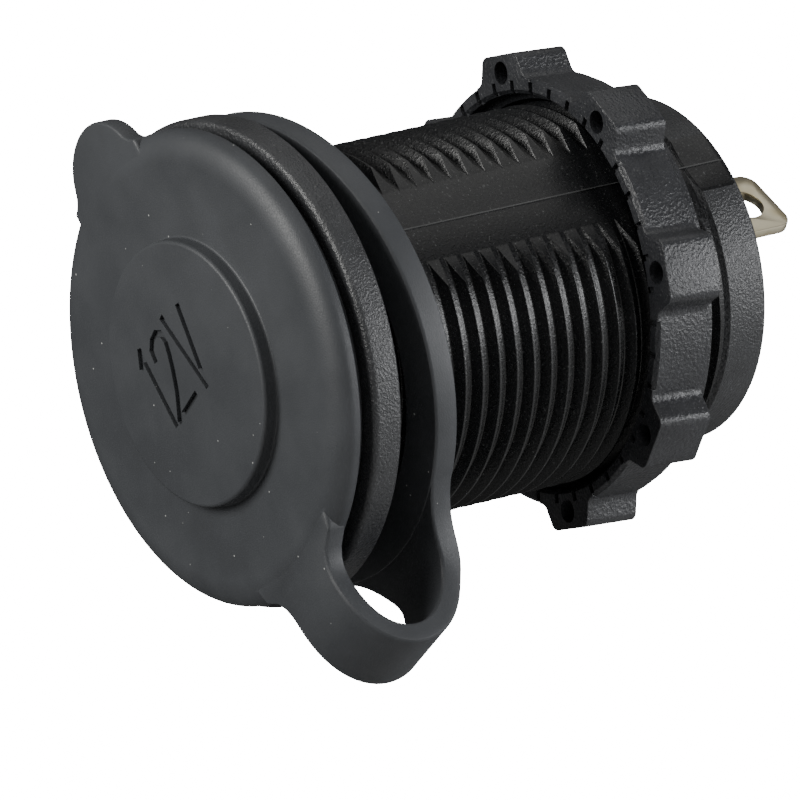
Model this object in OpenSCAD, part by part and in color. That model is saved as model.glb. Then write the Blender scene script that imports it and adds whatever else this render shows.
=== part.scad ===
// Panel-mount 12 volt power socket with a rubber cap on a tether.
// The origin is on the socket's axis, on the rear face of the flange, which seats on a panel.
// +Y runs to the rear along the axis, +Z is up, and the tether's loop hangs at -Z.

/* [Housing] */
// Wall of the threaded body from its bore to the thread's crests
body_wall = 3.35; // [3:0.05:3.8]
// Width of the front flange outside the thread
flange_w = 4.2; // [3.9:0.1:5]
// Thickness of the front flange
flange_t = 2.5; // [2:0.1:4]
// Rounding of the flange's front edge
flange_edge = 0.5; // [0.2:0.1:1]
// Depth of the thread from crest to root
thread_h = 0.85; // [0.5:0.05:0.95]
// Distance from one crest to the next
thread_pitch = 1.6; // [1.2:0.1:2.4]
// Width of the flat top of each crest
crest_w = 0.22; // [0.1:0.02:0.4]
// Width of the floor between two crests
root_w = 0.5; // [0.2:0.05:0.6]
// Length of the threaded stretch behind the flange
thread_len = 32.9; // [30:0.1:40]
// Depth of the two flats below the crests
flat_cut = 1.25; // [1:0.05:1.5]
// Turn of the flats from the side, towards the top
flat_turn = 13.3; // [-30:0.1:30]
// Length of the plain neck behind the thread
neck_len = 1.5; // [0.8:0.1:3]
// Depth of the plain neck below the crests
neck_cut = 1.3; // [1:0.1:1.6]
// Depth of the plain collar at the rear below the crests
collar_cut = 1.05; // [0.3:0.05:1.1]
// Length of the plain collar
collar_len = 3.9; // [3:0.1:6]
// Rounding of the collar's rear edge
collar_edge = 0.7; // [0.2:0.1:1]
// Thickness of the housing's inner rear wall
rear_wall_t = 2.1; // [1.5:0.1:3]
// Depth of the recess behind that wall
rear_recess = 3.8; // [2.5:0.1:5]
// Wall left round the rear recess, measured at the flats
recess_wall = 1.6; // [1:0.1:2]

/* [Contact barrel] */
// Bore of the metal barrel
socket_d = 21; // [20.8:0.1:21.4]
// Thickness of the barrel's sheet metal
barrel_t = 0.6; // [0.4:0.05:0.8]
// Width of the turned-out lip at the mouth
lip_w = 1; // [0.6:0.1:1.6]
// Clearance between the barrel and the housing
barrel_gap = 0.05; // [0.02:0.01:0.15]
// Number of spring tongues cut in the barrel's wall
tongues = 3; // [2:1:4]
// Width of each spring tongue
tongue_w = 5; // [3:0.1:6]
// Distance from the mouth to the first tongue's free end
tongue_start = 8; // [6:0.5:10]
// Length of each spring tongue
tongue_len = 13; // [8:0.5:16]
// Width of the slot cut round each tongue
tongue_slot = 0.7; // [0.4:0.1:1]

/* [Contacts and terminals] */
// Diameter of the centre contact button
button_d = 8; // [6.4:0.1:8.4]
// Height of the button's rim
button_t = 0.8; // [0.5:0.1:1.2]
// Height of the raised middle of the button
button_rise = 0.9; // [0.4:0.1:1.2]
// Height of the centre screw's head
screw_head_h = 0.8; // [0.6:0.1:1.2]
// Diameter of the insulating washer under the contact
insulator_d = 8.8; // [8.4:0.1:9]
// Thickness of that washer
insulator_t = 1.5; // [1:0.1:2.5]
// Diameter of the shank of the centre screw
screw_d = 4; // [3:0.1:4.5]
// Width over the flats of the screw's nut
terminal_nut_af = 7; // [6.4:0.1:8]
// Thickness of the screw's nut
terminal_nut_t = 2; // [1.5:0.1:3]
// Thickness of the spring washer
washer_t = 0.7; // [0.4:0.05:1]
// Width of a blade terminal
blade_w = 6.3; // [4.8:0.1:6.5]
// Thickness of a blade terminal
blade_t = 0.8; // [0.5:0.05:1]
// How far the blades reach behind the housing
blade_reach = 6.3; // [4:0.1:9]
// Gap between the rivet's shank and the blades
blade_gap = 0.7; // [0.6:0.1:1.2]
// Turn of the two terminals round the axis, upwards on the +X side
terminal_turn = 4; // [0:0.5:10]
// Turn of each blade out of the tangent
blade_turn = 22; // [0:1:25]
// Diameter of the hole in each blade
blade_hole_d = 3.1; // [1.6:0.1:3.2]
// Distance from that hole's centre to the blade's tip
blade_hole_at = 2.65; // [2.4:0.05:3.5]
// Rounding of the corners of a blade's tip
blade_corner = 1.2; // [0.4:0.1:1.6]
// Diameter of the rivet that holds the side terminal
rivet_d = 1.8; // [1.4:0.1:2]

/* [Ring nut] */
// Wall of the nut's rim outside the thread
nut_wall = 2; // [1.7:0.1:3]
// Width of the nut along the axis
nut_w = 5.2; // [4:0.1:8]
// Clearance between the nut's bore and the thread
nut_gap = 0.75; // [0.7:0.01:0.9]
// Front face of the nut behind the flange
nut_y = 26.2; // [10:0.1:27]
// Tilt of the loose nut on the thread, its top to the rear
nut_tilt = 3.8; // [0:0.1:4]
// Height of the nut's middle above the axis
nut_lift = 0.25; // [0:0.05:0.25]
// Number of lobes round the rim
lobes = 8; // [4:1:8]
// Height of each lobe above the rim
lobe_h = 1.8; // [1.2:0.1:2.4]
// Width of each lobe
lobe_w = 5.6; // [4:0.1:7]
// Corner cut of each lobe
lobe_corner = 0.6; // [0.2:0.1:1.2]
// Diameter of the blind hole in each lobe's front face
lobe_hole_d = 1.8; // [1:0.1:2.2]
// Depth of that hole
lobe_hole_h = 2.6; // [1:0.1:3.5]
// Turn of the first lobe from the tether towards +X
lobe_turn = -21; // [-45:0.5:45]

/* [Rubber cap] */
// Turn of the cap, tether and ring on the housing, their loop towards +X
cap_turn = 5; // [-10:0.5:10]
// How far the cap's rim stays inside the flange's edge
cap_inset = 0.45; // [0.2:0.05:1]
// Thickness of the rim
rim_t = 1.9; // [1.5:0.1:3]
// Width of the rounded shoulder
shoulder_w = 2.35; // [1:0.05:3]
// Height of the lip that seats on the flange
seat_h = 0.75; // [0.5:0.05:1.5]
// How far that lip stays inside the rim
seat_inset = 1; // [0.5:0.1:2]
// Clearance between the lip and the flange
seat_gap = 0.15; // [0.1:0.01:0.3]
// Diameter of the raised boss
boss_d = 20.4; // [16:0.1:24]
// Height of the raised boss
boss_h = 1.2; // [0.6:0.1:2]
// Rounding of the boss's edge
boss_edge = 0.35; // [0.1:0.05:0.5]
// Length of the plug that enters the socket
plug_len = 6.2; // [4:0.1:7]
// Clearance between the plug's sealing beads and the barrel
plug_gap = 0.32; // [0.3:0.01:0.5]
// How far the sealing beads stand proud of the plug
bead_h = 0.3; // [0.2:0.05:0.5]
// Distance from the lip to the first sealing bead
bead_start = 2.2; // [1.6:0.1:2.6]
// Distance between the two beads
bead_pitch = 2; // [1.4:0.1:2.4]
// Thickness of the plug's wall
plug_wall = 1.6; // [1.2:0.1:2.5]
// Radius of the thumb tab's round end
tab_r = 4.7; // [3:0.1:6]
// Reach of the thumb tab past the rim
tab_reach = 3.25; // [2.5:0.05:5]
// Thickness of the thumb tab
tab_t = 1.6; // [1.2:0.1:1.9]

/* [Tether and retaining ring] */
// Width of the tether
tether_w = 6.8; // [5:0.1:10]
// Thickness of the tether
tether_t = 1.6; // [1.2:0.1:1.9]
// Radius of the fillets at the tether's root on the cap
tether_fillet = 3.5; // [2:0.1:5]
// Radius of the wider fillets at its root on the ring
ring_fillet = 9; // [5:0.5:10]
// How far the tether's loop hangs below the rim
loop_drop = 8.65; // [7:0.05:10]
// How far the retaining ring stays inside the flange's edge
ring_inset = 0.35; // [0.1:0.05:0.6]
// Thickness of the retaining ring
ring_t = 2.2; // [1.5:0.1:3]
// Clearance between the ring's bore and the thread
ring_gap = 0.45; // [0.4:0.01:0.8]
// Tilt of the ring, pushed back by the tether
ring_tilt = 5.5; // [3:0.1:7]
// Gap between the flange and the ring's nearest edge
ring_lift = 0.28; // [0.2:0.01:0.6]

/* [Hidden] */
$fn = 96;
eps = 0.01;
far = 100;
arc_steps = 6;

// Places along the axis
screw_edge = 0.5;
body_len = thread_len + neck_len + collar_len;
mouth_y = -flange_t;
wall_rear_y = body_len - rear_recess;
wall_front_y = wall_rear_y - rear_wall_t;
// A spacer as thick as a blade keeps the barrel's base off the wall
base_rear_y = wall_front_y - blade_t;
base_front_y = base_rear_y - barrel_t;
insulator_y = base_front_y - insulator_t;
button_y = insulator_y - button_t;
head_rear_y = button_y - button_rise;
head_front_y = head_rear_y - screw_head_h;
foot_rear_y = wall_rear_y + blade_t;
washer_rear_y = foot_rear_y + washer_t;
nut_rear_y = washer_rear_y + terminal_nut_t;
screw_end_y = nut_rear_y + screw_edge;
blade_end_y = body_len + blade_reach;

// Radii and widths
barrel_r = socket_d / 2 + barrel_t;
bore_r = barrel_r + barrel_gap;
lip_r = barrel_r + lip_w;
thread_d = 2 * (bore_r + body_wall);
flange_r = thread_d / 2 + flange_w;
root_r = thread_d / 2 - thread_h;
across_flats = thread_d - 2 * flat_cut;
neck_r = thread_d / 2 - neck_cut;
collar_r = thread_d / 2 - collar_cut;
recess_r = across_flats / 2 - recess_wall;
screw_clear = 0.05;
spigot_wall = 1;
spacer_inset = 0.3;
rivet_head_w = 0.5;
rivet_eye_w = 0.8;
rivet_gap = 0.2;
screw_hole_r = screw_d / 2 + screw_clear;
spigot_r = screw_d / 2 + spigot_wall;
spacer_r = insulator_d / 2 - spacer_inset;
rivet_head_r = rivet_d / 2 + rivet_head_w;
rivet_eye_r = rivet_d / 2 + rivet_eye_w;
rivet_at = insulator_d / 2 + rivet_head_r + rivet_gap;
blade_r = rivet_at + rivet_d / 2 + blade_gap;
negative_at = 90 + terminal_turn;
positive_at = negative_at - 180;
nut_r = thread_d / 2 + nut_wall;
nut_bore_r = thread_d / 2 + nut_gap;
lobe_r = nut_r + lobe_h;

// Cap
seat_y = mouth_y - seat_gap;
rim_rear_y = seat_y - seat_h;
plate_y = rim_rear_y - rim_t;
boss_y = plate_y - boss_h;
cap_r = flange_r - cap_inset;
bead_r = socket_d / 2 - plug_gap;
plug_r = bead_r - bead_h;
plug_end_y = seat_y + plug_len;
hollow_r = plug_r - plug_wall;
tab_y = (plate_y + rim_rear_y) / 2;

// Ring
ring_r = flange_r - ring_inset;
ring_bore_r = thread_d / 2 + ring_gap;
ring_y = ring_lift + ring_r * sin(ring_tilt);
ring_low_y = ring_y + ring_t / 2 + ring_r * sin(ring_tilt);

// Tether's centre line, as the four control points of a curve in the YZ plane.
// It starts inside the cap's rim, hangs down past the loop's lowest place and ends in the ring.
cap_root = 0.95;
ring_root = 2.6;
front_pull = [-1.55, -4.15];
rear_pull = [3.3, -0.25];
joint_gap = 0.05;
cut_z = -(cap_r + cap_root + 0.1);
tether_c = [
    [tab_y, -cap_r + cap_root],
    [tab_y, -cap_r - loop_drop] + front_pull,
    [ring_low_y, -cap_r - loop_drop] + rear_pull,
    [ring_low_y - ring_root * sin(ring_tilt), -ring_r + ring_root]
];
curve_steps = 24;

function arc(c, r, a0, a1, n = arc_steps) =
    [for (i = [0:n]) let (a = a0 + (a1 - a0) * i / n) [c[0] + r * cos(a), c[1] + r * sin(a)]];
function bend(c, t) =
    pow(1 - t, 3) * c[0] + 3 * t * pow(1 - t, 2) * c[1] + 3 * t * t * (1 - t) * c[2] + pow(t, 3) * c[3];
function slope(c, t) =
    let (d = pow(1 - t, 2) * (c[1] - c[0]) + 2 * t * (1 - t) * (c[2] - c[1]) + t * t * (c[3] - c[2]))
    d / norm(d);
function side(c, h) =
    [for (i = [0:curve_steps]) let (t = i / curve_steps, d = slope(c, t)) bend(c, t) + h * [-d[1], d[0]]];
function reversed(p) = [for (i = [len(p) - 1:-1:0]) p[i]];

// Turns a shape that stands on Z so that it lies along +Y
module along_y(y = 0) {
    translate([0, y, 0]) rotate([-90, 0, 0]) children();
}

// Revolves a profile of [radius, y] points round the socket's axis
module revolve(points) {
    along_y() rotate_extrude() polygon(points);
}

module tube(r_out, r_in, y0, y1) {
    along_y(y0) difference() {
        cylinder(h = y1 - y0, r = r_out);
        if (r_in > 0) {
            translate([0, 0, -eps]) cylinder(h = y1 - y0 + 2 * eps, r = r_in);
        }
    }
}

// Places children at an angle from -Z towards +X, at a distance from the axis
module around(angle, r = 0) {
    rotate([0, -angle, 0]) translate([0, 0, -r]) children();
}

// Section Housing
module thread_profile() {
    crests = floor((thread_len - thread_pitch / 2) / thread_pitch);
    flank = (thread_pitch - crest_w - root_w) / 2;
    polygon(concat(
        [[0, -eps], [root_r, -eps]],
        [for (i = [1:crests], k = [0:3])
            [root_r + (k == 1 || k == 2 ? thread_h : 0),
             i * thread_pitch - crest_w / 2 + [-flank, 0, crest_w, crest_w + flank][k]]],
        [[root_r, thread_len], [neck_r, thread_len], [neck_r, body_len - collar_len],
         [collar_r, body_len - collar_len]],
        arc([collar_r - collar_edge, body_len - collar_edge], collar_edge, 0, 90),
        [[0, body_len]]
    ));
}

module threaded_body() {
    intersection() {
        along_y() rotate_extrude() thread_profile();
        rotate([0, -flat_turn, 0]) translate([-across_flats / 2, -far / 2, -far / 2])
            cube([across_flats, far, far]);
    }
}

module blade_slot(angle) {
    slot_clear = 0.1;
    around(angle, blade_r) rotate([0, -blade_turn, 0])
        translate([-blade_w / 2 - slot_clear, wall_front_y - eps, -blade_t / 2 - slot_clear])
            cube([blade_w + 2 * slot_clear, rear_wall_t + 2 * eps, blade_t + 2 * slot_clear]);
}

module housing() {
    color("#1f2022") difference() {
        union() {
            revolve(concat(
                [[0, mouth_y]],
                arc([flange_r - flange_edge, mouth_y + flange_edge], flange_edge, -90, 0),
                [[flange_r, 0], [0, 0]]
            ));
            threaded_body();
        }
        tube(bore_r, 0, mouth_y - 1, wall_front_y);
        tube(lip_r + barrel_gap, 0, mouth_y - 1, mouth_y + barrel_t);
        tube(recess_r, 0, wall_rear_y, body_len + 1);
        tube(screw_hole_r, 0, wall_front_y - 1, wall_rear_y + 1);
        blade_slot(negative_at);
    }
}

// Section Contact barrel
module tongue_cut() {
    y0 = mouth_y + tongue_start;
    for (s = [-1, 1]) {
        translate([s * (tongue_w + tongue_slot) / 2, y0 + tongue_len / 2, 0])
            cube([tongue_slot, tongue_len, far / 10], center = true);
    }
    translate([0, y0 + tongue_slot / 2, 0])
        cube([tongue_w + tongue_slot, tongue_slot, far / 10], center = true);
}

module contact_barrel() {
    color("#b9b7ae") difference() {
        revolve([
            [socket_d / 2, mouth_y], [lip_r, mouth_y], [lip_r, mouth_y + barrel_t],
            [barrel_r, mouth_y + barrel_t], [barrel_r, base_rear_y], [spigot_r, base_rear_y],
            [spigot_r, base_front_y], [socket_d / 2, base_front_y]
        ]);
        for (i = [0:tongues - 1]) {
            around(360 / tongues * i, barrel_r) tongue_cut();
        }
        around(negative_at, rivet_at) tube(rivet_d / 2, 0, base_front_y - 1, base_rear_y + 1);
    }
}

// Section Centre contact and its insulators
module inner_insulator() {
    color("#5a3a22") revolve([
        [screw_hole_r, insulator_y], [insulator_d / 2, insulator_y], [insulator_d / 2, base_front_y],
        [spigot_r - screw_clear, base_front_y], [spigot_r - screw_clear, base_rear_y],
        [screw_hole_r, base_rear_y]
    ]);
}

module rear_insulator() {
    color("#5a3a22") tube(spacer_r, screw_hole_r, base_rear_y, wall_front_y);
}

module centre_contact() {
    color("#c8a850") revolve([
        [screw_hole_r, head_rear_y], [button_d / 2 - 2 * button_t, head_rear_y],
        [button_d / 2 - button_t, button_y], [button_d / 2, button_y],
        [button_d / 2, insulator_y], [screw_hole_r, insulator_y]
    ]);
}

module centre_screw() {
    head_r = screw_d / 2 + 0.3;
    head_edge = 0.4;
    tip_edge = 0.4;
    slot_w = 0.8;
    slot_h = 0.5;
    color("#c8c6c0") difference() {
        revolve([
            [0, head_front_y], [head_r - head_edge, head_front_y], [head_r, head_front_y + head_edge],
            [head_r, head_rear_y], [screw_d / 2, head_rear_y], [screw_d / 2, screw_end_y - tip_edge],
            [screw_d / 2 - tip_edge, screw_end_y], [0, screw_end_y]
        ]);
        translate([-far / 2, head_front_y - eps, -slot_w / 2]) cube([far, slot_h, slot_w]);
    }
}

module spring_washer() {
    ring_w = 1.2;
    split = 0.6;
    split_at = 30;
    color("#a9a8a4") difference() {
        tube(screw_d / 2 + ring_w, screw_hole_r, foot_rear_y, washer_rear_y);
        around(split_at) translate([-split / 2, foot_rear_y - 1, -far]) cube([split, washer_t + 2, far]);
    }
}

module terminal_nut() {
    sides = 6;
    color("#b4b2ac") along_y(washer_rear_y) difference() {
        cylinder(h = terminal_nut_t, r = terminal_nut_af / 2 / cos(180 / sides), $fn = sides);
        translate([0, 0, -eps]) cylinder(h = terminal_nut_t + 2 * eps, r = screw_hole_r);
    }
}

// Section Blade terminals
module blade_outline(y0, y1) {
    corner_x = blade_w / 2 - blade_corner;
    polygon(concat(
        [[-blade_w / 2, y0], [blade_w / 2, y0]],
        arc([corner_x, y1 - blade_corner], blade_corner, 0, 90),
        arc([-corner_x, y1 - blade_corner], blade_corner, 90, 180)
    ));
}

module blade(angle, y0) {
    hole_y = blade_end_y - blade_hole_at;
    around(angle, blade_r) rotate([0, -blade_turn, 0]) translate([0, 0, blade_t / 2])
        mirror([0, 0, 1]) linear_extrude(blade_t) difference() {
            blade_outline(y0, blade_end_y);
            translate([0, hole_y]) circle(d = blade_hole_d);
        }
}

// A flat foot on the rear wall that joins an eye at a distance from the axis to the blade
module foot(angle, eye_r, eye_at, hole_r, y0) {
    difference() {
        union() {
            around(angle, eye_at) tube(eye_r, 0, y0, y0 + blade_t);
            around(angle, eye_at) translate([-eye_r, y0, -(blade_r - eye_at)])
                cube([2 * eye_r, blade_t, blade_r - eye_at]);
        }
        around(angle, eye_at) tube(hole_r, 0, y0 - 1, y0 + blade_t + 1);
        around(angle, blade_r) rotate([0, -blade_turn, 0]) translate([-far / 2, y0 - 1, -far])
            cube([far, blade_t + 2, far]);
    }
}

module positive_terminal() {
    eye_w = 1.4;
    color("#b8b096") union() {
        foot(positive_at, screw_d / 2 + eye_w, 0, screw_hole_r, wall_rear_y);
        blade(positive_at, wall_rear_y);
    }
}

module negative_terminal() {
    color("#b8b096") union() {
        foot(negative_at, rivet_eye_r, rivet_at, rivet_d / 2, base_rear_y);
        blade(negative_at, base_rear_y);
    }
}

module terminal_rivet() {
    head_t = 0.5;
    color("#c0beb6") around(negative_at, rivet_at) revolve([
        [0, base_front_y - head_t], [rivet_head_r, base_front_y - head_t],
        [rivet_head_r, base_front_y],
        [rivet_d / 2, base_front_y], [rivet_d / 2, wall_front_y], [0, wall_front_y]
    ]);
}

// Section Ring nut
module lobe_block() {
    lobe_in = nut_r - nut_wall / 2;
    lobe_out = lobe_r;
    c = lobe_corner;
    intersection() {
        linear_extrude(nut_w) polygon([
            [-lobe_w / 2, lobe_in], [lobe_w / 2, lobe_in], [lobe_w / 2, lobe_out - c],
            [lobe_w / 2 - c, lobe_out], [-lobe_w / 2 + c, lobe_out], [-lobe_w / 2, lobe_out - c]
        ]);
        rotate([0, -90, 0]) linear_extrude(lobe_w + 1, center = true) polygon([
            [0, 0], [nut_w - c, 0], [nut_w - c, lobe_out - c], [nut_w - 2 * c, lobe_out],
            [c, lobe_out], [0, lobe_out - c]
        ]);
    }
}

module ring_nut() {
    rim_edge = 0.4;
    mouth = 0.3;
    lip_h = 0.4;
    hole_at = nut_r + lobe_h / 2 - 0.5;
    color("#2c2d2f") translate([0, nut_y, nut_lift]) rotate([-nut_tilt, 0, 0]) difference() {
        union() {
            along_y() rotate_extrude() polygon([
                [nut_bore_r + mouth, 0], [nut_r - rim_edge, 0], [nut_r, rim_edge],
                [nut_r, nut_w - lip_h - rim_edge], [nut_r - rim_edge, nut_w - lip_h],
                [nut_r - rim_edge, nut_w], [nut_bore_r, nut_w], [nut_bore_r, mouth]
            ]);
            for (i = [0:lobes - 1]) {
                around(lobe_turn + 360 / lobes * i) along_y() lobe_block();
            }
        }
        for (i = [0:lobes - 1]) {
            around(lobe_turn + 360 / lobes * i, hole_at)
                tube(lobe_hole_d / 2, 0, -1, lobe_hole_h);
        }
    }
}

// Section Retaining ring and tether
module tilted() {
    translate([0, ring_y, 0]) rotate([ring_tilt, 0, 0]) children();
}

module retaining_ring() {
    edge = 0.3;
    color("#3a3b3d") around(cap_turn) tilted() along_y() rotate_extrude() polygon([
        [ring_bore_r, 0], [ring_r - edge, 0], [ring_r, edge], [ring_r, ring_t - edge],
        [ring_r - edge, ring_t], [ring_bore_r, ring_t]
    ]);
}

// Front view of the tether with its flared root, hanging down from a rim
module tether_front(rim_r, f) {
    x = tether_w / 2 + f;
    z = sqrt(pow(rim_r + f, 2) - x * x);
    root = rim_r / (rim_r + f);
    sunk = 1.5;
    difference() {
        polygon([
            [-x * root, -z * root + sunk], [x * root, -z * root + sunk], [x * root, -z * root], [x, -z],
            [tether_w / 2, -z], [tether_w / 2, -far / 2], [-tether_w / 2, -far / 2],
            [-tether_w / 2, -z], [-x, -z], [-x * root, -z * root]
        ]);
        for (s = [-1, 1]) {
            translate([s * x, -z]) circle(r = f);
        }
    }
}

module tether_loop() {
    split_y = (tab_y + ring_low_y) / 2;
    intersection() {
        rotate([90, 0, 90]) linear_extrude(far / 2, center = true)
            polygon(concat(side(tether_c, tether_t / 2), reversed(side(tether_c, -tether_t / 2))));
        union() {
            translate([0, split_y, 0]) rotate([90, 0, 0]) linear_extrude(far / 2)
                tether_front(cap_r, tether_fillet);
            translate([0, split_y, 0]) rotate([-90, 0, 0]) mirror([0, 1, 0]) linear_extrude(far / 2)
                tether_front(ring_r, ring_fillet);
        }
    }
}

module tether() {
    color("#3a3b3d") around(cap_turn) difference() {
        tether_loop();
        translate([-far / 2, -far, cut_z - joint_gap]) cube([far, far + 1, far]);
        tilted() tube(ring_r, 0, -ring_t, 3 * ring_t);
    }
}

// Section Cap
module tab_outline() {
    f = 2;
    c = cap_r + tab_reach - tab_r;
    z = (pow(cap_r + f, 2) - pow(tab_r + f, 2) + c * c) / (2 * c);
    x = sqrt(pow(cap_r + f, 2) - z * z);
    root = cap_r / (cap_r + f);
    sunk = 2;
    translate([0, c]) circle(r = tab_r);
    difference() {
        polygon([
            [-x * root, z * root - sunk], [x * root, z * root - sunk], [x * root, z * root], [x, z],
            [-x, z], [-x * root, z * root]
        ]);
        for (s = [-1, 1]) {
            translate([s * x, z]) circle(r = f);
        }
    }
}

module cap_profile() {
    rim_edge = 0.15;
    end_edge = 0.5;
    bead_w = 0.5;
    bead_at = [seat_y + bead_start, seat_y + bead_start + bead_pitch];
    shoulder_h = rim_t - 0.5;
    beads = [for (y = bead_at, k = [0:2]) [plug_r + (k == 1 ? bead_h : 0), y + (k - 1) * bead_w]];
    shoulder = [for (i = [0:arc_steps * 2]) let (a = -90 + 90 * i / (arc_steps * 2))
        [cap_r - shoulder_w + shoulder_w * cos(a), plate_y + shoulder_h + shoulder_h * sin(a)]];
    polygon(concat(
        [[0, boss_y]],
        arc([boss_d / 2 - boss_edge, boss_y + boss_edge], boss_edge, -90, 0),
        [[boss_d / 2, plate_y]],
        shoulder,
        [[cap_r, rim_rear_y - rim_edge], [cap_r - rim_edge, rim_rear_y],
         [cap_r - seat_inset, rim_rear_y], [cap_r - seat_inset, seat_y], [plug_r, seat_y]],
        beads,
        [[plug_r, plug_end_y - end_edge], [plug_r - end_edge, plug_end_y],
         [hollow_r, plug_end_y], [hollow_r, rim_rear_y], [0, rim_rear_y]]
    ));
}

module cap() {
    color("#45474a") around(cap_turn) union() {
        along_y() rotate_extrude() cap_profile();
        translate([0, tab_y + tab_t / 2, 0]) rotate([90, 0, 0]) linear_extrude(tab_t) tab_outline();
        intersection() {
            tether_loop();
            translate([-far / 2, -far, cut_z]) cube([far, far + tab_y + tether_t, far]);
        }
    }
}

housing();
contact_barrel();
inner_insulator();
rear_insulator();
centre_contact();
centre_screw();
spring_washer();
terminal_nut();
positive_terminal();
negative_terminal();
terminal_rivet();
ring_nut();
retaining_ring();
tether();
cap();
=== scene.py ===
"""Looks of a panel-mount 12 volt power socket with a rubber cap on a tether.

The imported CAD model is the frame. Each class below models one sub-assembly of the
socket over it, with its sizes in millimetres, and gives it its finish.
"""

import logging
import math
from collections.abc import Iterator, Sequence
from contextlib import contextmanager
from dataclasses import dataclass, field
from enum import Enum

import bpy
from mathutils import Matrix, Vector

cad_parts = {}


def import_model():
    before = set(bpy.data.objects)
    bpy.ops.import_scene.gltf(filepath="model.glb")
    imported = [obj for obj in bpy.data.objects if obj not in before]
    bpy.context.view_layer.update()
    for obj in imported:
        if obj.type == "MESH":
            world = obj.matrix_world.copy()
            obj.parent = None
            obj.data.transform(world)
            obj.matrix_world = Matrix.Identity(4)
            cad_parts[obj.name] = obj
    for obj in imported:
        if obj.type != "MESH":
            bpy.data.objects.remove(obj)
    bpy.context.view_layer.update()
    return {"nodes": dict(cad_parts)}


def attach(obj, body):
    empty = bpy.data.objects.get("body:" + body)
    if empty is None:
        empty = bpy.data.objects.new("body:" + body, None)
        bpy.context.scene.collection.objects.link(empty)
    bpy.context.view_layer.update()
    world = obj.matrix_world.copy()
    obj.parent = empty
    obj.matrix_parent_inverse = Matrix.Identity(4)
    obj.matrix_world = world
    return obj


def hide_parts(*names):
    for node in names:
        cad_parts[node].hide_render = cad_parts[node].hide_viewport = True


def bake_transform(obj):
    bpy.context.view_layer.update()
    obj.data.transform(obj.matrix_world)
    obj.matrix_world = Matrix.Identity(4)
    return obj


log = logging.getLogger("socket")

MM = 0.001
Point2 = tuple[float, float]
Piece = bpy.types.Object
Material = bpy.types.Material
Tree = bpy.types.NodeTree
Node = bpy.types.Node
Socket = bpy.types.NodeSocket

# How far a tool reaches past what it cuts, in millimetres
PAST = 1.0
# The turn of the housing's flats in degrees, and the mould seam's place along them in
# millimetres, for its shape and its finish
FLAT_TURN = 13.3
SEAM_AT = -0.17


class Operation(Enum):
    """How one solid changes another."""

    JOIN = "UNION"
    CUT = "DIFFERENCE"
    KEEP = "INTERSECT"


# Modelling helpers


def deselect_all() -> None:
    """Deselects every object."""
    for item in list(bpy.context.selected_objects):
        item.select_set(False)


def take(piece: Piece) -> None:
    """Makes a piece the only selected and active object.

    Args:
        piece: The object to work on.
    """
    deselect_all()
    piece.select_set(True)
    bpy.context.view_layer.objects.active = piece


@contextmanager
def editing(piece: Piece) -> Iterator[None]:
    """Opens a piece in edit mode with all its vertices selected, and closes it after.

    Args:
        piece: The object to edit.
    """
    take(piece)
    bpy.ops.object.mode_set(mode="EDIT")
    bpy.ops.mesh.select_mode(type="VERT")
    bpy.ops.mesh.select_all(action="SELECT")
    yield
    bpy.ops.object.mode_set(mode="OBJECT")


def extrude(shift: Sequence[float]) -> None:
    """Extrudes what is selected in edit mode, by a shift in metres."""
    bpy.ops.mesh.extrude_region_move(TRANSFORM_OT_translate={"value": shift})


def settle(piece: Piece, name: str) -> Piece:
    """Names a piece and puts its place into its mesh.

    Args:
        piece: The object.
        name: Its new name.

    Returns:
        The same object, at the origin, unturned and unscaled.
    """
    take(piece)
    bpy.ops.object.transform_apply(location=True, rotation=True, scale=True)
    piece.name = name
    piece.data.name = name
    return piece


def chain(name: str, points: Sequence[Vector]) -> Piece:
    """Draws a line of edges by extruding one vertex from point to point.

    Args:
        name: The new object's name.
        points: The places of its vertices, in millimetres.

    Returns:
        The new object.
    """
    bpy.ops.mesh.primitive_plane_add(size=MM, location=points[0] * MM)
    piece = settle(bpy.context.object, name)
    with editing(piece):
        bpy.ops.mesh.merge(type="CENTER")
        for here, there in zip(points, points[1:]):
            extrude((there - here) * MM)
    return piece


def clean(piece: Piece, within: float = 0.0005) -> None:
    """Merges a piece's doubles and turns its faces outwards.

    Args:
        piece: The object to clean.
        within: The distance within which vertices are merged, in millimetres.
    """
    with editing(piece):
        bpy.ops.mesh.remove_doubles(threshold=within * MM)
        bpy.ops.mesh.normals_make_consistent(inside=False)


def lathe(name: str, profile: Sequence[Point2], steps: int) -> Piece:
    """Spins a profile round the socket's axis.

    Args:
        name: The new object's name.
        profile: Radius and y of each point, in millimetres. It starts and ends on the axis,
            or ends where it starts.
        steps: The number of facets.

    Returns:
        The closed solid.
    """
    piece = chain(name, [Vector((radius, y, 0)) for radius, y in profile])
    with editing(piece):
        bpy.ops.mesh.spin(steps=steps, angle=math.tau, center=(0, 0, 0), axis=(0, 1, 0))
    clean(piece)
    return piece


def prism(name: str, corners: Sequence[Vector], shift: Sequence[float]) -> Piece:
    """Fills a flat outline and extrudes it.

    Args:
        name: The new object's name.
        corners: The outline's corners, in millimetres.
        shift: The way from the first face to the last, in metres.

    Returns:
        The closed solid.
    """
    piece = chain(name, corners)
    with editing(piece):
        bpy.ops.mesh.edge_face_add()
        extrude(shift)
    clean(piece)
    return piece


def plate(name: str, outline: Sequence[Point2], front: float, rear: float) -> Piece:
    """Makes a plate from the x and z of its corners and the y of its two faces."""
    corners = [Vector((x, front, z)) for x, z in outline]
    return prism(name, corners, (0, (rear - front) * MM, 0))


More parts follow.
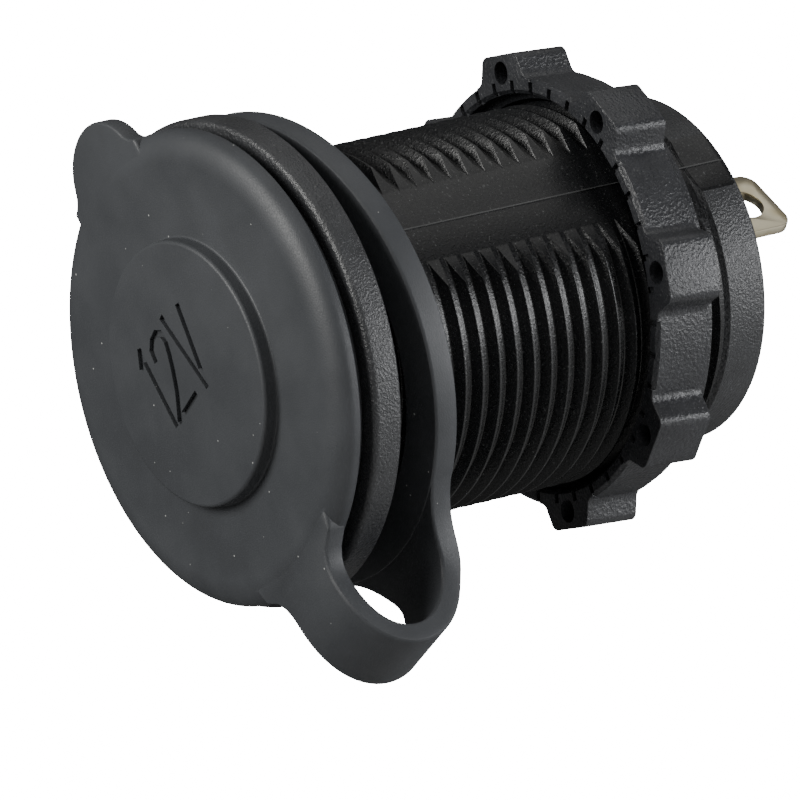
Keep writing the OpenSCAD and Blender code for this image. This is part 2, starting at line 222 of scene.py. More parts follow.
def block(name: str, low: Sequence[float], high: Sequence[float]) -> Piece:
    """Adds a box between two corners.

    Args:
        name: The new object's name.
        low: Its lowest corner, in millimetres.
        high: Its highest corner, in millimetres.

    Returns:
        The box.
    """
    low, high = Vector(low), Vector(high)
    bpy.ops.mesh.primitive_cube_add(size=1, location=(low + high) / 2 * MM, scale=(high - low) * MM)
    return settle(bpy.context.object, name)


def pin(name: str, radius: float, low: Vector, high: Vector, steps: int = 32) -> Piece:
    """Adds a round pin between the middles of its two ends.

    Args:
        name: The new object's name.
        radius: Its radius, in millimetres.
        low: The middle of one end, in millimetres.
        high: The middle of the other end.
        steps: The number of facets.

    Returns:
        The pin.
    """
    along = high - low
    turn = along.to_track_quat("Z", "Y").to_euler()
    bpy.ops.mesh.primitive_cylinder_add(
        vertices=steps, radius=radius * MM, depth=along.length * MM,
        location=(low + high) / 2 * MM, rotation=turn,
    )
    return settle(bpy.context.object, name)


def turned(piece: Piece, degrees: float) -> Piece:
    """Turns a piece round the socket's axis, from -Z towards +X, and gives it back."""
    piece.matrix_world = Matrix.Rotation(math.radians(-degrees), 4, "Y") @ piece.matrix_world
    return settle(piece, piece.name)


def copied(piece: Piece) -> Piece:
    """Copies a piece, with a mesh of its own.

    Args:
        piece: The object.

    Returns:
        The copy.
    """
    take(piece)
    bpy.ops.object.duplicate()
    return bpy.context.object


def ring_of(piece: Piece, count: int, first: float) -> Piece:
    """Copies a piece evenly round the socket's axis and uses it up.

    Args:
        piece: The object.
        count: The number of copies, which don't touch.
        first: The turn of the first copy, in degrees.

    Returns:
        The copies, joined in one object.
    """
    copies = [turned(copied(piece), first + 360 / count * i) for i in range(count)]
    bpy.data.objects.remove(piece)
    take(copies[0])
    for each in copies:
        each.select_set(True)
    bpy.ops.object.join()
    return bpy.context.object


def shape(piece: Piece, tool: Piece, operation: Operation) -> None:
    """Changes a solid by another, which is used up."""
    modify(piece, "BOOLEAN", object=tool, operation=operation.value, solver="EXACT")
    bpy.data.objects.remove(tool)


def modify(piece: Piece, kind: str, **settings: object) -> None:
    """Adds a modifier and applies it.

    Args:
        piece: The object.
        kind: The modifier's type.
        **settings: The modifier's properties.
    """
    take(piece)
    modifier = piece.modifiers.new(kind.title(), kind)
    for key, value in settings.items():
        setattr(modifier, key, value)
    bpy.ops.object.modifier_apply(modifier=modifier.name)


def round_edges(piece: Piece, radius: float, segments: int, angle: float) -> None:
    """Rounds a piece's sharp edges.

    Args:
        piece: The object.
        radius: The width of the rounding, in millimetres.
        segments: The number of facets across it.
        angle: Edges that turn by more than this are rounded, in degrees.
    """
    modify(
        piece, "BEVEL", width=radius * MM, segments=segments, limit_method="ANGLE",
        angle_limit=math.radians(angle), miter_outer="MITER_ARC",
    )


def smooth(piece: Piece, degrees: float) -> None:
    """Shades a piece smooth, apart from edges that turn by more than an angle."""
    take(piece)
    bpy.ops.object.shade_smooth_by_angle(angle=math.radians(degrees))


def arc(centre: Point2, radius: float, start: float, end: float, steps: int = 6) -> list[Point2]:
    """Gives points on an arc, whose angles run in degrees from the first axis to the second."""
    turns = [math.radians(start + (end - start) * i / steps) for i in range(steps + 1)]
    return [(centre[0] + radius * math.cos(t), centre[1] + radius * math.sin(t)) for t in turns]


def ramp(value: float, start: float, over: float) -> float:
    """Gives a share that rises smoothly from zero at the start to one, over a distance."""
    share = min(max((value - start) / over, 0.0), 1.0)
    return share * share * (3 - 2 * share)


def dress(piece: Piece, material: Material) -> None:
    """Gives a piece one material."""
    piece.data.materials.clear()
    piece.data.materials.append(material)


# Finishes


def linear(code: str) -> tuple[float, float, float, float]:
    """Turns an sRGB hex colour to linear.

    Args:
        code: The colour as #rrggbb.

    Returns:
        Red, green, blue and an alpha of one.
    """
    parts = [int(code[i : i + 2], 16) / 255 for i in (1, 3, 5)]
    red, green, blue = (c / 12.92 if c <= 0.04045 else ((c + 0.055) / 1.055) ** 2.4 for c in parts)
    return red, green, blue, 1.0


def per_mm(size: float) -> float:
    """Gives the scale of a pattern whose features are this many millimetres wide."""
    return 1 / (size * MM)


def add_node(
    tree: Tree, kind: str, inputs: dict[object, object] | Sequence[object], **settings: object
) -> Node:
    """Adds one node with its settings and links.

    Args:
        tree: The node tree.
        kind: The node's type, without its common first word.
        inputs: Values for its inputs, by name or number or else in their order. Nodes and
            sockets are linked, a node from its first output in use.
        **settings: Properties of the node.

    Returns:
        The node.
    """
    made = tree.nodes.new("ShaderNode" + kind)
    for key, value in settings.items():
        setattr(made, key, value)
    for key, value in inputs.items() if isinstance(inputs, dict) else enumerate(inputs):
        if isinstance(value, Node):
            value = next(output for output in value.outputs if output.enabled)
        if isinstance(value, Socket):
            tree.links.new(value, made.inputs[key])
        else:
            made.inputs[key].default_value = value
    return made


def new_material(name: str) -> tuple[Material, Tree, Socket]:
    """Starts a material.

    Args:
        name: The real material's name.

    Returns:
        The material, its tree and the Object coordinates.
    """
    material = bpy.data.materials.new(name)
    material.use_nodes = True
    tree = material.node_tree
    tree.nodes.clear()
    place = add_node(tree, "TexCoord", {}).outputs["Object"]
    return material, tree, place


def speckle(tree: Tree, place: Socket, spacing: float, size: float, share: float) -> Node:
    """Marks scattered specks, each in its own cell of a loose net.

    Args:
        tree: The node tree.
        place: The coordinates that it reads.
        spacing: The mean distance between two possible specks, in millimetres.
        size: The radius of a speck, in millimetres.
        share: The share of the cells that have one.

    Returns:
        The node that gives one in a speck and zero elsewhere.
    """
    cells = add_node(tree, "TexVoronoi", {"Vector": place, "Scale": per_mm(spacing)})
    rim = size / spacing
    spot = add_node(tree, "MapRange", (cells, 0.4 * rim, rim, 1.0, 0.0))
    chance = add_node(tree, "SeparateColor", {"Color": cells.outputs["Color"]})
    kept = add_node(tree, "Math", (chance, share), operation="LESS_THAN")
    return add_node(tree, "Math", (spot, kept), operation="MULTIPLY")


def clouded(
    tree: Tree, place: Socket, size: float, detail: float, span: Point2, colours: tuple[str, str]
) -> tuple[Node, Node, Node]:
    """Mixes two colours in soft patches.

    Args:
        tree: The node tree.
        place: The coordinates that it reads.
        size: The width of a patch, in millimetres.
        detail: How many finer layers the patches have.
        span: The noise where the first colour ends and where the second is whole.
        colours: The two colours as #rrggbb.

    Returns:
        The nodes of the noise, of the second colour's share and of the mixed colour.
    """
    cloud = add_node(tree, "TexNoise", {"Vector": place, "Scale": per_mm(size), "Detail": detail})
    share = add_node(tree, "MapRange", (cloud, *span))
    first, second = map(linear, colours)
    tint = add_node(tree, "Mix", {0: share, 6: first, 7: second}, data_type="RGBA")
    return cloud, share, tint


def finish_material(tree: Tree, values: dict[object, object]) -> None:
    """Ends a material in its shader, with these inputs, and its output."""
    shader = add_node(tree, "BsdfPrincipled", values)
    add_node(tree, "OutputMaterial", {"Surface": shader})


@dataclass(frozen=True)
class SoftRubber:
    """Moulded black rubber of the cap, its tether and the ring.

    Carbon-filled rubber is a dark neutral grey with a wide, dull sheen. Its mould left a fine,
    even grain, its skin is faintly cloudy, and it holds pale specks of dust.
    """

    body: str = "#37393c"
    bloom: str = "#3e4043"
    dust: str = "#b4b5b2"
    roughness: float = 0.52
    spread: float = 0.06
    depth: float = 0.012

    def material(self) -> Material:
        """Builds the rubber's material.

        Returns:
            The material.
        """
        made, tree, place = new_material("Moulded black rubber")
        tint = clouded(tree, place, 5.0, 3.0, (0.35, 0.65), (self.body, self.bloom))[2]
        # Dust that rubber attracts: many specks near 0.1 mm and a few larger ones
        fine = speckle(tree, place, 1.5, 0.085, 0.6)
        large = speckle(tree, place, 3.6, 0.12, 0.8)
        specks = add_node(tree, "Math", (fine, large), operation="MAXIMUM")
        dusty = {0: specks, 6: tint, 7: linear(self.dust)}
        tint = add_node(tree, "Mix", dusty, data_type="RGBA")
        # The grain of the spark-eroded mould is near 0.06 mm, drawn at 0.12 mm so that it shows
        grain = add_node(tree, "TexNoise", {"Vector": place, "Scale": per_mm(0.12), "Detail": 1.0})
        low, high = self.roughness - self.spread, self.roughness + self.spread
        rough = add_node(tree, "MapRange", (grain, 0.3, 0.7, low, high))
        skin = add_node(tree, "Bump", {"Height": grain, "Distance": self.depth * MM})
        # Moulded rubber sinks and swells very slightly over a millimetre or two
        swell = add_node(tree, "TexNoise", {"Vector": place, "Scale": per_mm(1.6)})
        waves = {"Height": swell, "Distance": self.depth * MM, "Normal": skin}
        normal = add_node(tree, "Bump", waves)
        sheen = {"Roughness": rough, "IOR": 1.52, "Specular IOR Level": 0.42}
        finish_material(tree, {"Base Color": tint, "Normal": normal, **sheen})
        return made


@dataclass(frozen=True)
class GlassFilledNylon:
    """Injection-moulded black nylon with short glass fibres, from a spark-eroded mould.

    Fibres near the skin and the eroded mould give a dull dark grey with a coarse grain that
    breaks each highlight into glints.
    """

    name: str
    body: str = "#2c2d2f"
    cloud: str = "#353638"
    # Colour of the pale fibre ends, made bright enough to serve also as painted glints
    fibre: str = "#5e5f5f"
    sleek: str = "#0d0e10"
    roughness: float = 0.34
    sleek_roughness: float = 0.3
    spread: Point2 = (0.09, -0.07)
    grain: float = 0.26
    depth: float = 0.1

    def zones(self, tree: Tree, place: Socket) -> dict[str, object]:
        """Says where the skin is eroded, grained, lighter and seamed: eroded all over."""
        return {"eroded": 1.0, "grained": 1.0, "light": 1.0, "seam": 0.0}

    def material(self) -> Material:
        """Builds the nylon's material.

        Returns:
            The material.
        """
        made, tree, place = new_material(self.name)
        zones = self.zones(tree, place)
        tint = clouded(tree, place, 3.0, 3.0, (0.35, 0.65), (self.body, self.cloud))[2]
        # Sleek dark skin on the thread and flats, the eroded colour on the flange and collar, and
        # on the housing a painted sheen on the flats above their seam
        satin_and_sheen = {0: zones["light"], 6: linear(self.sleek), 7: tint}
        tint = add_node(tree, "Mix", satin_and_sheen, data_type="RGBA")
        # Fibre ends that lie in the skin show as short pale marks, 0.2 mm long: partly their own
        # paler colour, partly painted glints
        ends = add_node(tree, "TexNoise", {"Vector": place, "Scale": per_mm(0.22), "Detail": 1.0})
        pale = add_node(tree, "MapRange", (ends, 0.66, 0.76, 0.0, 0.5))
        # A few specks of pale dust, near 0.1 mm, and the painted highlight along the housing's seam
        for other in (speckle(tree, place, 2.0, 0.08, 0.4), zones["seam"]):
            pale = add_node(tree, "Math", (pale, other), operation="MAXIMUM")
        glints = {0: pale, 6: tint, 7: linear(self.fibre)}
        tint = add_node(tree, "Mix", glints, data_type="RGBA")
        grain = add_node(
            tree, "TexNoise", {"Vector": place, "Scale": per_mm(self.grain), "Detail": 3.0}
        )
        skins = (self.sleek_roughness, self.roughness)
        dull = add_node(tree, "MapRange", (zones["eroded"], 0.0, 1.0, *skins))
        rough = add_node(tree, "MapRange", (grain, 0.3, 0.7, *self.spread))
        rough = add_node(tree, "Math", (rough, dull), operation="ADD")
        depth = add_node(tree, "MapRange", (zones["grained"], 0.0, 1.0, 0.0, self.depth * MM))
        normal = add_node(tree, "Bump", {"Height": grain, "Distance": depth})
        finish_material(
            tree, {"Base Color": tint, "Roughness": rough, "Normal": normal, "IOR": 1.53}
        )
        return made


@dataclass(frozen=True)
class HousingNylon(GlassFilledNylon):
    """The housing's nylon: eroded on the flange and collar, satin and darker on the thread.

    The two flats are smooth, with a faint painted sheen above their mould seam, and the seam
    ridge carries a painted highlight, a thin pale line.
    """

    front: float = 0.05
    rear: float = 34.2
    flat: float = 13.2
    flat_turn: float = FLAT_TURN
    seam_at: float = SEAM_AT
    seam_w: float = 0.1
    # Strength of the painted highlight along the seam, as a share of the pale colour
    painted_seam_highlight: float = 0.5
    # How much painted sheen lightens the flats above their seam, as a share of the lighter colour
    above: float = 0.12
    thread_grain: float = 0.32
    flat_grain: float = 0.14

    def zones(self, tree: Tree, place: Socket) -> dict[str, object]:
        """Says where the skin is eroded, grained and lighter, with a painted sheen on the flats
        above the seam, and where the seam carries a painted highlight.

        Args:
            tree: The node tree.
            place: The Object coordinates.

        Returns:
            The nodes of the four shares, by name.
        """
        turn = math.radians(self.flat_turn)
        x, z = math.cos(turn), math.sin(turn)
        made = {"y": add_node(tree, "SeparateXYZ", (place,)).outputs["Y"]}
        for name, axis in (("across", (x, 0, z)), ("along", (-z, 0, x))):
            made[name] = add_node(tree, "VectorMath", (place, axis), operation="DOT_PRODUCT")
        # Each row is a value's name, how it is reckoned, and from which names or numbers
        for name, operation, *values in (
            ("behind", "GREATER_THAN", "y", self.front * MM),
            ("flange", "SUBTRACT", 1.0, "behind"),
            ("collar", "GREATER_THAN", "y", self.rear * MM),
            ("ends", "MAXIMUM", "flange", "collar"),
            ("reach", "ABSOLUTE", "across"),
            ("outer", "GREATER_THAN", "reach", self.flat * MM),
            ("flat", "MULTIPLY", "outer", "behind"),
            ("bare", "SUBTRACT", "ends", "flat"),
            ("eroded", "MAXIMUM", "bare", 0.0),
            ("side", "SIGN", "across"),
            ("beside", "MULTIPLY", "along", "side"),
            ("past", "SUBTRACT", "beside", self.seam_at * MM),
            ("above", "GREATER_THAN", "past", 0.0),
            # The upper half of each flat gets a painted sheen, a share of the lighter colour
            ("upper", "MULTIPLY", "above", "flat"),
            ("painted_sheen", "MULTIPLY", "upper", self.above),
            ("light", "MAXIMUM", "eroded", "painted_sheen"),
            # A thin pale line along the seam is a painted highlight
            ("off", "ABSOLUTE", "past"),
            ("near", "LESS_THAN", "off", self.seam_w / 2 * MM),
            ("line", "MULTIPLY", "near", "flat"),
            ("seam", "MULTIPLY", "line", self.painted_seam_highlight),
            ("smoothed", "MULTIPLY", "flat", self.flat_grain - self.thread_grain),
            ("satin_and_sheen", "ADD", "smoothed", self.thread_grain),
            ("grained", "MAXIMUM", "eroded", "satin_and_sheen"),
        ):
            values = [made.get(value, value) for value in values]
            made[name] = add_node(tree, "Math", values, operation=operation)
        return {name: made[name] for name in ("eroded", "grained", "light", "seam")}


@dataclass(frozen=True)
class PlatedMetal:
    """Sheet metal or turned metal with a plated skin.

    Rolling or turning leaves fine marks under the plating, and handling dulls it in patches.
    """

    name: str
    skin: str
    patch: str
    roughness: float = 0.28
    spread: float = 0.06

    def material(self) -> Material:
        """Builds the metal's material.

        Returns:
            The material.
        """
        made, tree, place = new_material(self.name)
        _, share, tint = clouded(tree, place, 2.2, 2.0, (0.4, 0.62), (self.skin, self.patch))
        rough = add_node(
            tree, "MapRange", (share, 0.0, 1.0, self.roughness, self.roughness + self.spread)
        )
        # Rolling marks run along the axis; they are near 0.03 mm apart, drawn at 0.08 mm
        stretch = add_node(tree, "Mapping", {"Vector": place, "Scale": (1.0, 0.06, 1.0)})
        marks = add_node(tree, "TexNoise", {"Vector": stretch, "Scale": per_mm(0.08)})
        normal = add_node(tree, "Bump", {"Height": marks, "Distance": 0.004 * MM})
        finish_material(
            tree, {"Base Color": tint, "Roughness": rough, "Metallic": 1.0, "Normal": normal}
        )
        return made


@dataclass(frozen=True)
class HardPaper:
    """Red-brown hard paper of the insulating washers, pressed from sheets of long fibres."""

    body: str = "#6d3a22"
    fibre: str = "#8a5130"

    def material(self) -> Material:
        """Builds the hard paper's material.

        Returns:
            The material.
        """
        made, tree, place = new_material("Laminated hard paper")
        fibres, _, tint = clouded(tree, place, 0.25, 4.0, (0.35, 0.65), (self.body, self.fibre))
        normal = add_node(tree, "Bump", {"Height": fibres, "Distance": 0.01 * MM})
        finish_material(tree, {"Base Color": tint, "Roughness": 0.55, "Normal": normal})
        return made


@dataclass(frozen=True)
class StudioPaper:
    """White background paper, dead matt, with the faintest cloudiness of its pulp."""

    def material(self) -> Material:
        """Builds the paper's material.

        Returns:
            The material.
        """
        made, tree, place = new_material("White studio paper")
        pulp = add_node(tree, "TexNoise", {"Vector": place, "Scale": per_mm(40.0)})
        whites = {0: pulp, 6: linear("#f6f6f5"), 7: linear("#fafafa")}
        tint = add_node(tree, "Mix", whites, data_type="RGBA")
        finish_material(tree, {"Base Color": tint, "Roughness": 0.9})
        return made


# Sub-assemblies


@dataclass
class Housing:
    """Flanged and threaded moulding with two flats."""

    flange_r: float = 18.7
    flange_t: float = 2.5
    flange_edge: float = 0.5
    seat_edge: float = 0.2
    crest_r: float = 14.5
    root_r: float = 13.65
    pitch: float = 1.6
    crest_w: float = 0.16
    root_w: float = 0.5
    corner: float = 0.05
    thread_end: float = 32.9
    neck_r: float = 13.2
    neck_end: float = 34.4
    neck_edge: float = 0.15
    collar_r: float = 13.45
    collar_front: float = 0.25
    collar_edge: float = 0.7
    end: float = 38.3
    flat: float = 13.25
    flat_turn: float = FLAT_TURN
    bore_r: float = 11.15
    lip_r: float = 12.15
    lip_t: float = 0.6
    wall_front: float = 32.4
    wall_rear: float = 34.5
    recess_r: float = 11.65
    recess_edge: float = 0.3
    screw_r: float = 2.05
    seam_at: float = SEAM_AT
    seam_front: float = 0.3
    seam_w: float = 0.14
    seam_h: float = 0.07
    sunk: float = 0.5
    facets: int = 112

    def thread_profile(self) -> list[Point2]:
        """Gives one pitch of the thread, from root to root, with rounded crest edges.

        Returns:
            Radius and y of each point.
        """
        flank = (self.pitch - self.crest_w - self.root_w) / 2
        up, top = self.root_w / 2, self.root_w / 2 + flank
        c = self.corner
        slope = Vector((self.crest_r - self.root_r, flank)).normalized() * c
        half = [
            (self.root_r, 0.0),
            (self.root_r, up - c),
            (self.root_r + slope.x, up + slope.y),
            (self.crest_r - slope.x, top - slope.y),
            (self.crest_r - c / 4, top),
            (self.crest_r, top + c),
        ]
        return half + [(r, self.pitch - y) for r, y in reversed(half)]

    def rod(self) -> Piece:
        """Sweeps the thread's profile along a right-handed screw and squares its ends.

        Returns:
            The threaded rod.
        """
        start = -2 * self.pitch
        turns = math.ceil((self.thread_end - start) / self.pitch) + 1
        profile = [Vector((r, y + start, 0)) for r, y in self.thread_profile()]
        piece = chain("housing_moulding", profile)
        modify(
            piece, "SCREW", axis="Y", angle=math.tau, screw_offset=self.pitch * MM,
            iterations=turns, steps=self.facets, render_steps=self.facets,
        )
        with editing(piece):
            bpy.ops.mesh.remove_doubles(threshold=0.001 * MM)
            for y, side in ((-self.flange_t / 2, -1), (self.thread_end, 1)):
                bpy.ops.mesh.select_all(action="SELECT")
                bpy.ops.mesh.bisect(
                    plane_co=(0, y * MM, 0), plane_no=(0, side, 0), clear_outer=True,
                    threshold=0.001 * MM,
                )
                bpy.ops.mesh.extrude_region_move()
                bpy.ops.mesh.merge(type="CENTER")
        clean(piece)
        return piece

    def seam(self, side: int) -> Piece:
        """Models the fine seam that the mould left along the middle of a flat.

        Args:
            side: 1 for the flat near +X, -1 for the other.

        Returns:
            A ridge sunk in the flat.
        """
        half = self.seam_w / 2
        ridge = block(
            "seam",
            (self.flat - self.sunk, self.seam_front, self.seam_at - half),
            (self.flat + self.seam_h, self.end - self.collar_edge, self.seam_at + half),
        )
        turned(ridge, self.flat_turn)
        return turned(ridge, 180) if side < 0 else ridge

    def build(self) -> Piece:
        """Models the moulding.

        Returns:
            The housing, in one piece.
        """
        piece = self.rod()
        neck_r, neck_end, neck_edge = self.neck_r, self.neck_end, self.neck_edge
        front, rear = self.collar_front, self.collar_edge
        start = self.thread_end - 0.3
        collar = lathe(
            "collar",
            [(0, start), (neck_r, start), (neck_r, neck_end - neck_edge),
             (neck_r + neck_edge, neck_end), (self.collar_r - front, neck_end),
             (self.collar_r, neck_end + front)]
            + arc((self.collar_r - rear, self.end - rear), rear, 0, 90)
            + [(0, self.end)],
            self.facets,
        )
        shape(piece, collar, Operation.JOIN)
        slab = block("slab", (-self.flat, -10, -20), (self.flat, self.end + 5, 20))
        shape(piece, turned(slab, self.flat_turn), Operation.KEEP)
        for side in (1, -1):
            shape(piece, self.seam(side), Operation.JOIN)
        edge, seat_edge = self.flange_edge, self.seat_edge
        flange = lathe(
            "flange",
            [(0, -self.flange_t)]
            + arc((self.flange_r - edge, edge - self.flange_t), edge, -90, 0)
            + [(self.flange_r, -seat_edge), (self.flange_r - seat_edge, 0), (0, 0)],
            self.facets,
        )
        shape(piece, flange, Operation.JOIN)
        mouth, past = -self.flange_t - PAST, self.end + PAST
        seat = self.lip_t - self.flange_t
        recess_r, wide = self.recess_r, self.recess_r + self.recess_edge
        core = lathe(
            "core",
            [(0, mouth), (self.lip_r, mouth), (self.lip_r, seat), (self.bore_r, seat),
             (self.bore_r, self.wall_front), (self.screw_r, self.wall_front),
             (self.screw_r, self.wall_rear), (recess_r, self.wall_rear),
             (recess_r, self.end - self.recess_edge), (wide, self.end), (wide, past), (0, past)],
            self.facets,
        )
        shape(piece, core, Operation.CUT)
        clean(piece, 0.003)
        smooth(piece, 28)
        return piece


@dataclass
class RingNut:
    """Ring nut with eight finger lobes, each with a blind hole."""

    front: float = 26.2
    width: float = 5.2
    bore_r: float = 15.25
    rim_r: float = 16.5
    edge: float = 0.3
    mouth: float = 0.3
    lip: float = 0.4
    tilt: float = 3.8
    lift: float = 0.25
    lobes: int = 8
    lobe_turn: float = -21.0
    lobe_r: float = 18.3
    lobe_w: float = 5.6
    lobe_taper: float = 0.25
    lobe_corner: float = 0.8
    lobe_root: float = 0.9
    lobe_back: float = 0.6
    lobe_rounding: float = 0.45
    hole_r: float = 0.9
    hole_depth: float = 2.6
    hole_at: float = 16.9
    notches: int = 40
    notch_w: float = 0.5
    notch_depth: float = 0.4
    notch_reach: float = 16.25
    ridge_r: float = 14.7
    ridge_foot: float = 0.5
    ridge_top: float = 0.12
    ridge_at: tuple[float, ...] = (1.8, 3.4, 5.0)
    facets: int = 120

    def lobe_outline(self) -> list[Point2]:
        """Gives a lobe's outline at -Z, from the fillet at one foot to the other.

        Returns:
            x and z of each corner.
        """
        half, root, corner = self.lobe_w / 2, self.lobe_root, self.lobe_corner
        sunk = self.rim_r - 0.9
        foot = math.sqrt(self.rim_r**2 - (half + root) ** 2)
        top = half - self.lobe_taper
        right = (
            [(half + root, sunk), (half + root, foot)]
            + arc((half + root, foot + root), root, 265, 185, 5)
            + arc((top - corner, self.lobe_r - corner), corner, 5, 85, 6)
        )
        left = [(-x, z) for x, z in reversed(right)]
        return [(x, -z) for x, z in right + left]

    def build(self) -> Piece:
        """Models the nut.

        Returns:
            The nut, in one piece.
        """
        y0, y1, edge = self.front, self.front + self.width, self.edge
        ridges = [
            point
            for at in reversed(self.ridge_at)
            for point in (
                (self.bore_r, min(y0 + at + self.ridge_foot, y1)),
                (self.ridge_r, min(y0 + at + self.ridge_top, y1 - 0.05)),
                (self.ridge_r, y0 + at - self.ridge_top),
                (self.bore_r, y0 + at - self.ridge_foot),
            )
        ]
        piece = lathe(
            "ring_nut_moulding",
            [(self.bore_r + self.mouth, y0), (self.rim_r - edge, y0), (self.rim_r, y0 + edge),
             (self.rim_r, y1 - self.lip - edge), (self.rim_r - edge, y1 - self.lip),
             (self.rim_r - edge, y1)]
            + ridges
            + [(self.bore_r, y0 + self.mouth), (self.bore_r + self.mouth, y0)],
            self.facets,
        )
        lobe = plate("lobe", self.lobe_outline(), y0, y1 - self.lobe_back)
        round_edges(lobe, self.lobe_rounding, 4, 50)
        shape(piece, ring_of(lobe, self.lobes, self.lobe_turn), Operation.JOIN)
        ends = (Vector((0, y, -self.hole_at)) for y in (y0 - PAST, y0 + self.hole_depth))
        hole = pin("hole", self.hole_r, *ends)
        shape(piece, ring_of(hole, self.lobes, self.lobe_turn), Operation.CUT)
        notch = block(
            "notch",
            (-self.notch_w / 2, y0 - PAST, -self.notch_reach),
            (self.notch_w / 2, y0 + self.notch_depth, -self.bore_r + 0.5),
        )
        first = self.lobe_turn + 180 / self.notches
        shape(piece, ring_of(notch, self.notches, first), Operation.CUT)
        piece.matrix_world = (
            Matrix.Translation((0, y0 * MM, self.lift * MM))
            @ Matrix.Rotation(math.radians(-self.tilt), 4, "X")
            @ Matrix.Translation((0, -y0 * MM, 0))
        )
        settle(piece, "ring_nut_moulding")
        smooth(piece, 35)
        return piece


@dataclass
class Strap:
    """Rubber tether that hangs in a loop from the cap's rim to the ring."""

    width: float = 6.8
    thickness: float = 1.6
    ring_thickness: float = 2.0
    ring_y: float = 3.144
    ring_slope: float = 0.0963
    level_from: float = -22.5
    level_over: float = 4.0
    thicken_from: float = -23.5
    thicken_over: float = 4.5
    cap_sink: float = 1.25
    ring_sink: float = 0.15
    sink_over: float = 1.5
    cap_r: float = 18.25
    cap_fillet: float = 3.5
    ring_r: float = 18.17
    ring_fillet: float = 9.0
    sunk: Point2 = (-4.35, -15.8)
    line: tuple[Point2, ...] = ((-4.35, -17.3), (-5.9, -31.05), (8.2, -27.15), (4.65, -15.75))
    rows: int = 48
    edge: float = 0.3
    cut_z: float = -19.3

    def centre(self, t: float) -> Vector:
        """Gives a place on the centre line, which ends in the plane of the tilted ring.

        Args:
            t: The share of the way from the cap to the ring.

        Returns:
            Its place, in millimetres.
        """
        weights = ((1 - t) ** 3, 3 * t * (1 - t) ** 2, 3 * t * t * (1 - t), t**3)
        y = sum(w * p[0] for w, p in zip(weights, self.line))
        z = sum(w * p[1] for w, p in zip(weights, self.line))
        if y > 0:
            level = self.ring_y - self.ring_slope * z
            y += ramp(z, self.level_from, self.level_over) * (level - y)
        return Vector((0, y, z))

    def half_width(self, place: Vector) -> float:
        """Gives half the strap's width, wider in the fillets at its two roots.

        Args:
            place: A place on the centre line.

        Returns:
            The half width, in millimetres.
        """
        root, fillet, sink = (
            (self.cap_r, self.cap_fillet, self.cap_sink)
            if place.y < 0
            else (self.ring_r, self.ring_fillet, self.ring_sink)
        )
        x = self.width / 2 + fillet
        foot = math.sqrt((root + fillet) ** 2 - x * x)
        rise = place.z + foot
        if rise <= 0:
            return self.width / 2
        touch = -foot * root / (root + fillet)
        if place.z < touch:
            return x - math.sqrt(fillet**2 - rise * rise)
        # Above the fillet the strap draws in, more under the cap's rounded shoulder
        inside = root - sink * min((place.z - touch) / self.sink_over, 1.0)
        return math.sqrt(inside**2 - place.z**2)

    def build(self) -> Piece:
        """Models the whole strap, with its roots sunk in the rim and the ring.

        Returns:
            The strap.
        """
        places = [Vector((0, *self.sunk))]
        places += [self.centre(i / self.rows) for i in range(self.rows + 1)]
        halves = [self.half_width(place) for place in places]
        start = places[0] - Vector((halves[0], 0, 0))
        piece = chain("strap", [start, start + Vector((2 * halves[0], 0, 0))])
        with editing(piece):
            for here, there, before, after in zip(places, places[1:], halves, halves[1:]):
                extrude((there - here) * MM)
                scale = (after / before, 1, 1)
                bpy.ops.transform.resize(value=scale, center_override=there * MM)
        clean(piece)
        group = piece.vertex_groups.new(name="thickness")
        thin = self.thickness / self.ring_thickness
        for vertex in piece.data.vertices:
            y, z = vertex.co.y / MM, vertex.co.z / MM
            near = ramp(z, self.thicken_from, self.thicken_over) if y > 0 else 0.0
            group.add([vertex.index], thin + (1 - thin) * near, "REPLACE")
        modify(
            piece, "SOLIDIFY", thickness=self.ring_thickness * MM, offset=0.0,
            use_even_offset=True, vertex_group=group.name,
        )
        clean(piece)
        round_edges(piece, self.edge, 3, 40)
        return piece


